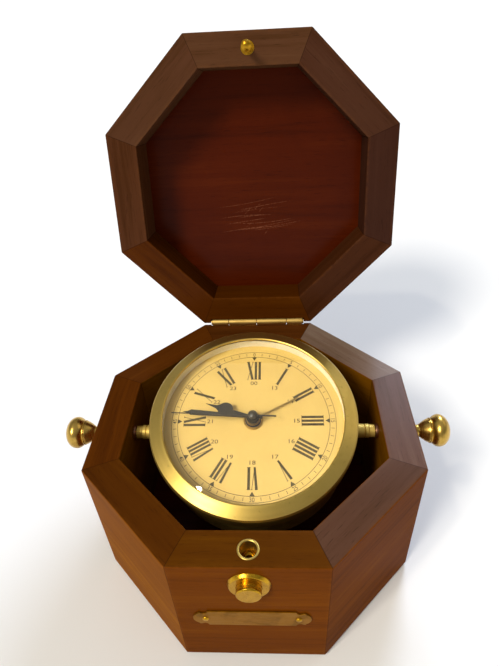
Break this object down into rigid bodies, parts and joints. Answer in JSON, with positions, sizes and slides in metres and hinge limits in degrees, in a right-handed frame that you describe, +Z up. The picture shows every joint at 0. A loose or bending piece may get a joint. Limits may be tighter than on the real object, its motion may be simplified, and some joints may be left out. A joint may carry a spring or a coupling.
{
  "type": "ship's deck clock",
  "caption": "Octagonal mitred wooden box with a hinged lid and push-button catch, holding a round brass alarm clock that tilts between two knobs.",
  "frame": {"origin": "centre of the felt pad's underside, on the surface the box stands on", "axes": "+Z up, +X to the clock's right, -Y to the front; drawn with the lid open and the dial tilted"},
  "size_m": [0.2056, 0.2388, 0.2447],
  "materials": {
    "wood_stave": "satin lacquered dark mahogany",
    "wood_panel": "gloss lacquered red mahogany",
    "felt": "green baize",
    "brass_polished": "polished, lacquered",
    "brass_satin": "satin brushed",
    "brass_aged": "aged, dull",
    "copper_bush": "reddish turned bushing",
    "spring_steel": "bright",
    "glass": "clear",
    "rubber": "matt",
    "reflector": "satin",
    "dial_cream": "satin cream print",
    "black_plastic": "moulded",
    "white_plastic": "moulded acetal",
    "battery_wrap": "plain sleeve",
    "board": "solder-masked laminate",
    "coil_wire": "enamelled copper",
    "iron": "stamped",
    "hand_black": "black",
    "hand_gilt": "gilt",
    "red_plastic": "moulded"
  },
  "bodies": {
    "base": {"base_stave_front": "wood_stave", "base_stave_back": "wood_stave", "base_side_staves": "wood_stave", "base_corner_staves": "wood_stave", "base_bottom_panel": "wood_panel", "base_felt": "felt", "hinge_leaf_base": "brass_polished", "hinge_pin": "brass_polished", "hinge_screws_base": "brass_polished", "catch_ferrule": "brass_polished", "latch_housing": "brass_polished", "latch_spring": "spring_steel", "latch_spring_cap": "brass_satin", "name_plate": "brass_aged", "name_plate_pins": "brass_polished", "pivot_bushings": "copper_bush"},
    "lid": {"lid_end_staves": "wood_stave", "lid_side_staves": "wood_stave", "lid_corner_staves": "wood_stave", "lid_top_panel": "wood_panel", "hinge_leaf_lid": "brass_polished", "hinge_screws_lid": "brass_polished", "catch_stud": "brass_polished"},
    "clock_head": {"clock_cup": "brass_satin", "bezel": "brass_satin", "crystal": "glass", "crystal_gasket": "rubber", "reflector_ring": "reflector", "dial": "dial_cream", "movement_front_housing": "black_plastic", "movement_back_cover": "black_plastic", "train_plate": "white_plastic", "centre_nut": "brass_aged", "rubber_washer": "rubber", "battery": "battery_wrap", "battery_contacts": "spring_steel", "circuit_board": "board", "coil": "coil_wire", "stator": "iron", "buzzer": "brass_satin", "pivot_studs": "brass_polished", "pivot_spacers": "brass_polished"},
    "left_knob": {"knob_left": "brass_polished"},
    "right_knob": {"knob_right": "brass_polished"},
    "push_button": {"latch_plunger": "brass_polished"},
    "seconds": {"second_wheel": "white_plastic", "second_hand": "hand_black"},
    "rotor": {"rotor": "iron"},
    "intermediate": {"intermediate_wheel": "white_plastic"},
    "third": {"third_wheel": "white_plastic"},
    "minutes": {"centre_wheel": "white_plastic", "minute_hand": "hand_black"},
    "minute_work": {"minute_work_wheel": "white_plastic"},
    "hours": {"hour_wheel": "white_plastic", "hour_hand": "hand_black"},
    "alarm": {"alarm_wheel": "white_plastic", "alarm_hand": "hand_gilt"},
    "time_set": {"time_set_knob": "black_plastic"},
    "alarm_set": {"alarm_set_knob": "black_plastic"},
    "alarm_slider": {"alarm_switch": "red_plastic"}
  },
  "joints": [
    {"name": "lid_hinge", "type": "hinge", "parent": "base", "child": "lid", "pos_m": [0, 0.0823, 0.0846], "axis": [-1, 0, 0], "range_deg": [-104, 0]},
    {"name": "clock_tilt", "type": "hinge", "parent": "base", "child": "clock_head", "pos_m": [0, 0, 0.0718], "axis": [1, 0, 0], "range_deg": [-32.8, 163.6]},
    {"name": "left_knob_turn", "type": "hinge", "parent": "clock_head", "child": "left_knob", "pos_m": [-0.09, 0, 0.0718], "axis": [1, 0, 0], "range_deg": [0, 180]},
    {"name": "right_knob_turn", "type": "hinge", "parent": "clock_head", "child": "right_knob", "pos_m": [0.09, 0, 0.0718], "axis": [-1, 0, 0], "range_deg": [0, 180]},
    {"name": "button_press", "type": "slide", "parent": "base", "child": "push_button", "axis": [0, 1, 0], "range_m": [0, 0.003], "stiffness_N_per_m": 400, "springref_m": -0.002, "deforming": ["latch_spring"]},
    {"name": "second_hand_turn", "type": "hinge", "parent": "clock_head", "child": "seconds", "pos_m": [0, 0, 0.0718], "axis": [0, 0.2823, -0.9593], "continuous": true},
    {"name": "rotor_turn", "type": "hinge", "parent": "clock_head", "child": "rotor", "pos_m": [-0.01302, 0.00403, 0.07299], "axis": [0, 0.2823, -0.9593], "continuous": true},
    {"name": "intermediate_turn", "type": "hinge", "parent": "clock_head", "child": "intermediate", "pos_m": [-0.01015, -0.00354, 0.07076], "axis": [0, 0.2823, -0.9593], "continuous": true},
    {"name": "third_turn", "type": "hinge", "parent": "clock_head", "child": "third", "pos_m": [-0.00612, 0.01017, 0.07479], "axis": [0, 0.2823, -0.9593], "continuous": true},
    {"name": "minute_hand_turn", "type": "hinge", "parent": "clock_head", "child": "minutes", "pos_m": [0, 0, 0.0718], "axis": [0, 0.2823, -0.9593], "continuous": true},
    {"name": "minute_work_turn", "type": "hinge", "parent": "clock_head", "child": "minute_work", "pos_m": [0.01, 0, 0.0718], "axis": [0, 0.2823, -0.9593], "continuous": true},
    {"name": "hour_hand_turn", "type": "hinge", "parent": "clock_head", "child": "hours", "pos_m": [0, 0, 0.0718], "axis": [0, 0.2823, -0.9593], "continuous": true},
    {"name": "time_set_turn", "type": "hinge", "parent": "clock_head", "child": "time_set", "pos_m": [0.02, 0, 0.0718], "axis": [0, 0.2823, -0.9593], "continuous": true},
    {"name": "alarm_hand_turn", "type": "hinge", "parent": "clock_head", "child": "alarm", "pos_m": [0, 0, 0.0718], "axis": [0, 0.2823, -0.9593], "continuous": true},
    {"name": "alarm_set_turn", "type": "hinge", "parent": "clock_head", "child": "alarm_set", "pos_m": [0.00836, 0.00955, 0.07461], "axis": [0, 0.2823, -0.9593], "continuous": true},
    {"name": "alarm_switch_slide", "type": "slide", "parent": "clock_head", "child": "alarm_slider", "axis": [0, 0.9593, 0.2823], "range_m": [0, 0.003]}
  ],
  "couplings": [
    {"joint": "intermediate_turn", "follows": "second_hand_turn", "ratio": -5},
    {"joint": "rotor_turn", "follows": "second_hand_turn", "ratio": 30},
    {"joint": "third_turn", "follows": "second_hand_turn", "ratio": -0.13333},
    {"joint": "minute_hand_turn", "follows": "second_hand_turn", "ratio": 0.016667},
    {"joint": "minute_work_turn", "follows": "second_hand_turn", "ratio": -0.0055556},
    {"joint": "hour_hand_turn", "follows": "second_hand_turn", "ratio": 0.0013889},
    {"joint": "time_set_turn", "follows": "second_hand_turn", "ratio": 0.016667},
    {"joint": "alarm_set_turn", "follows": "alarm_hand_turn", "ratio": -1.6}
  ]
}
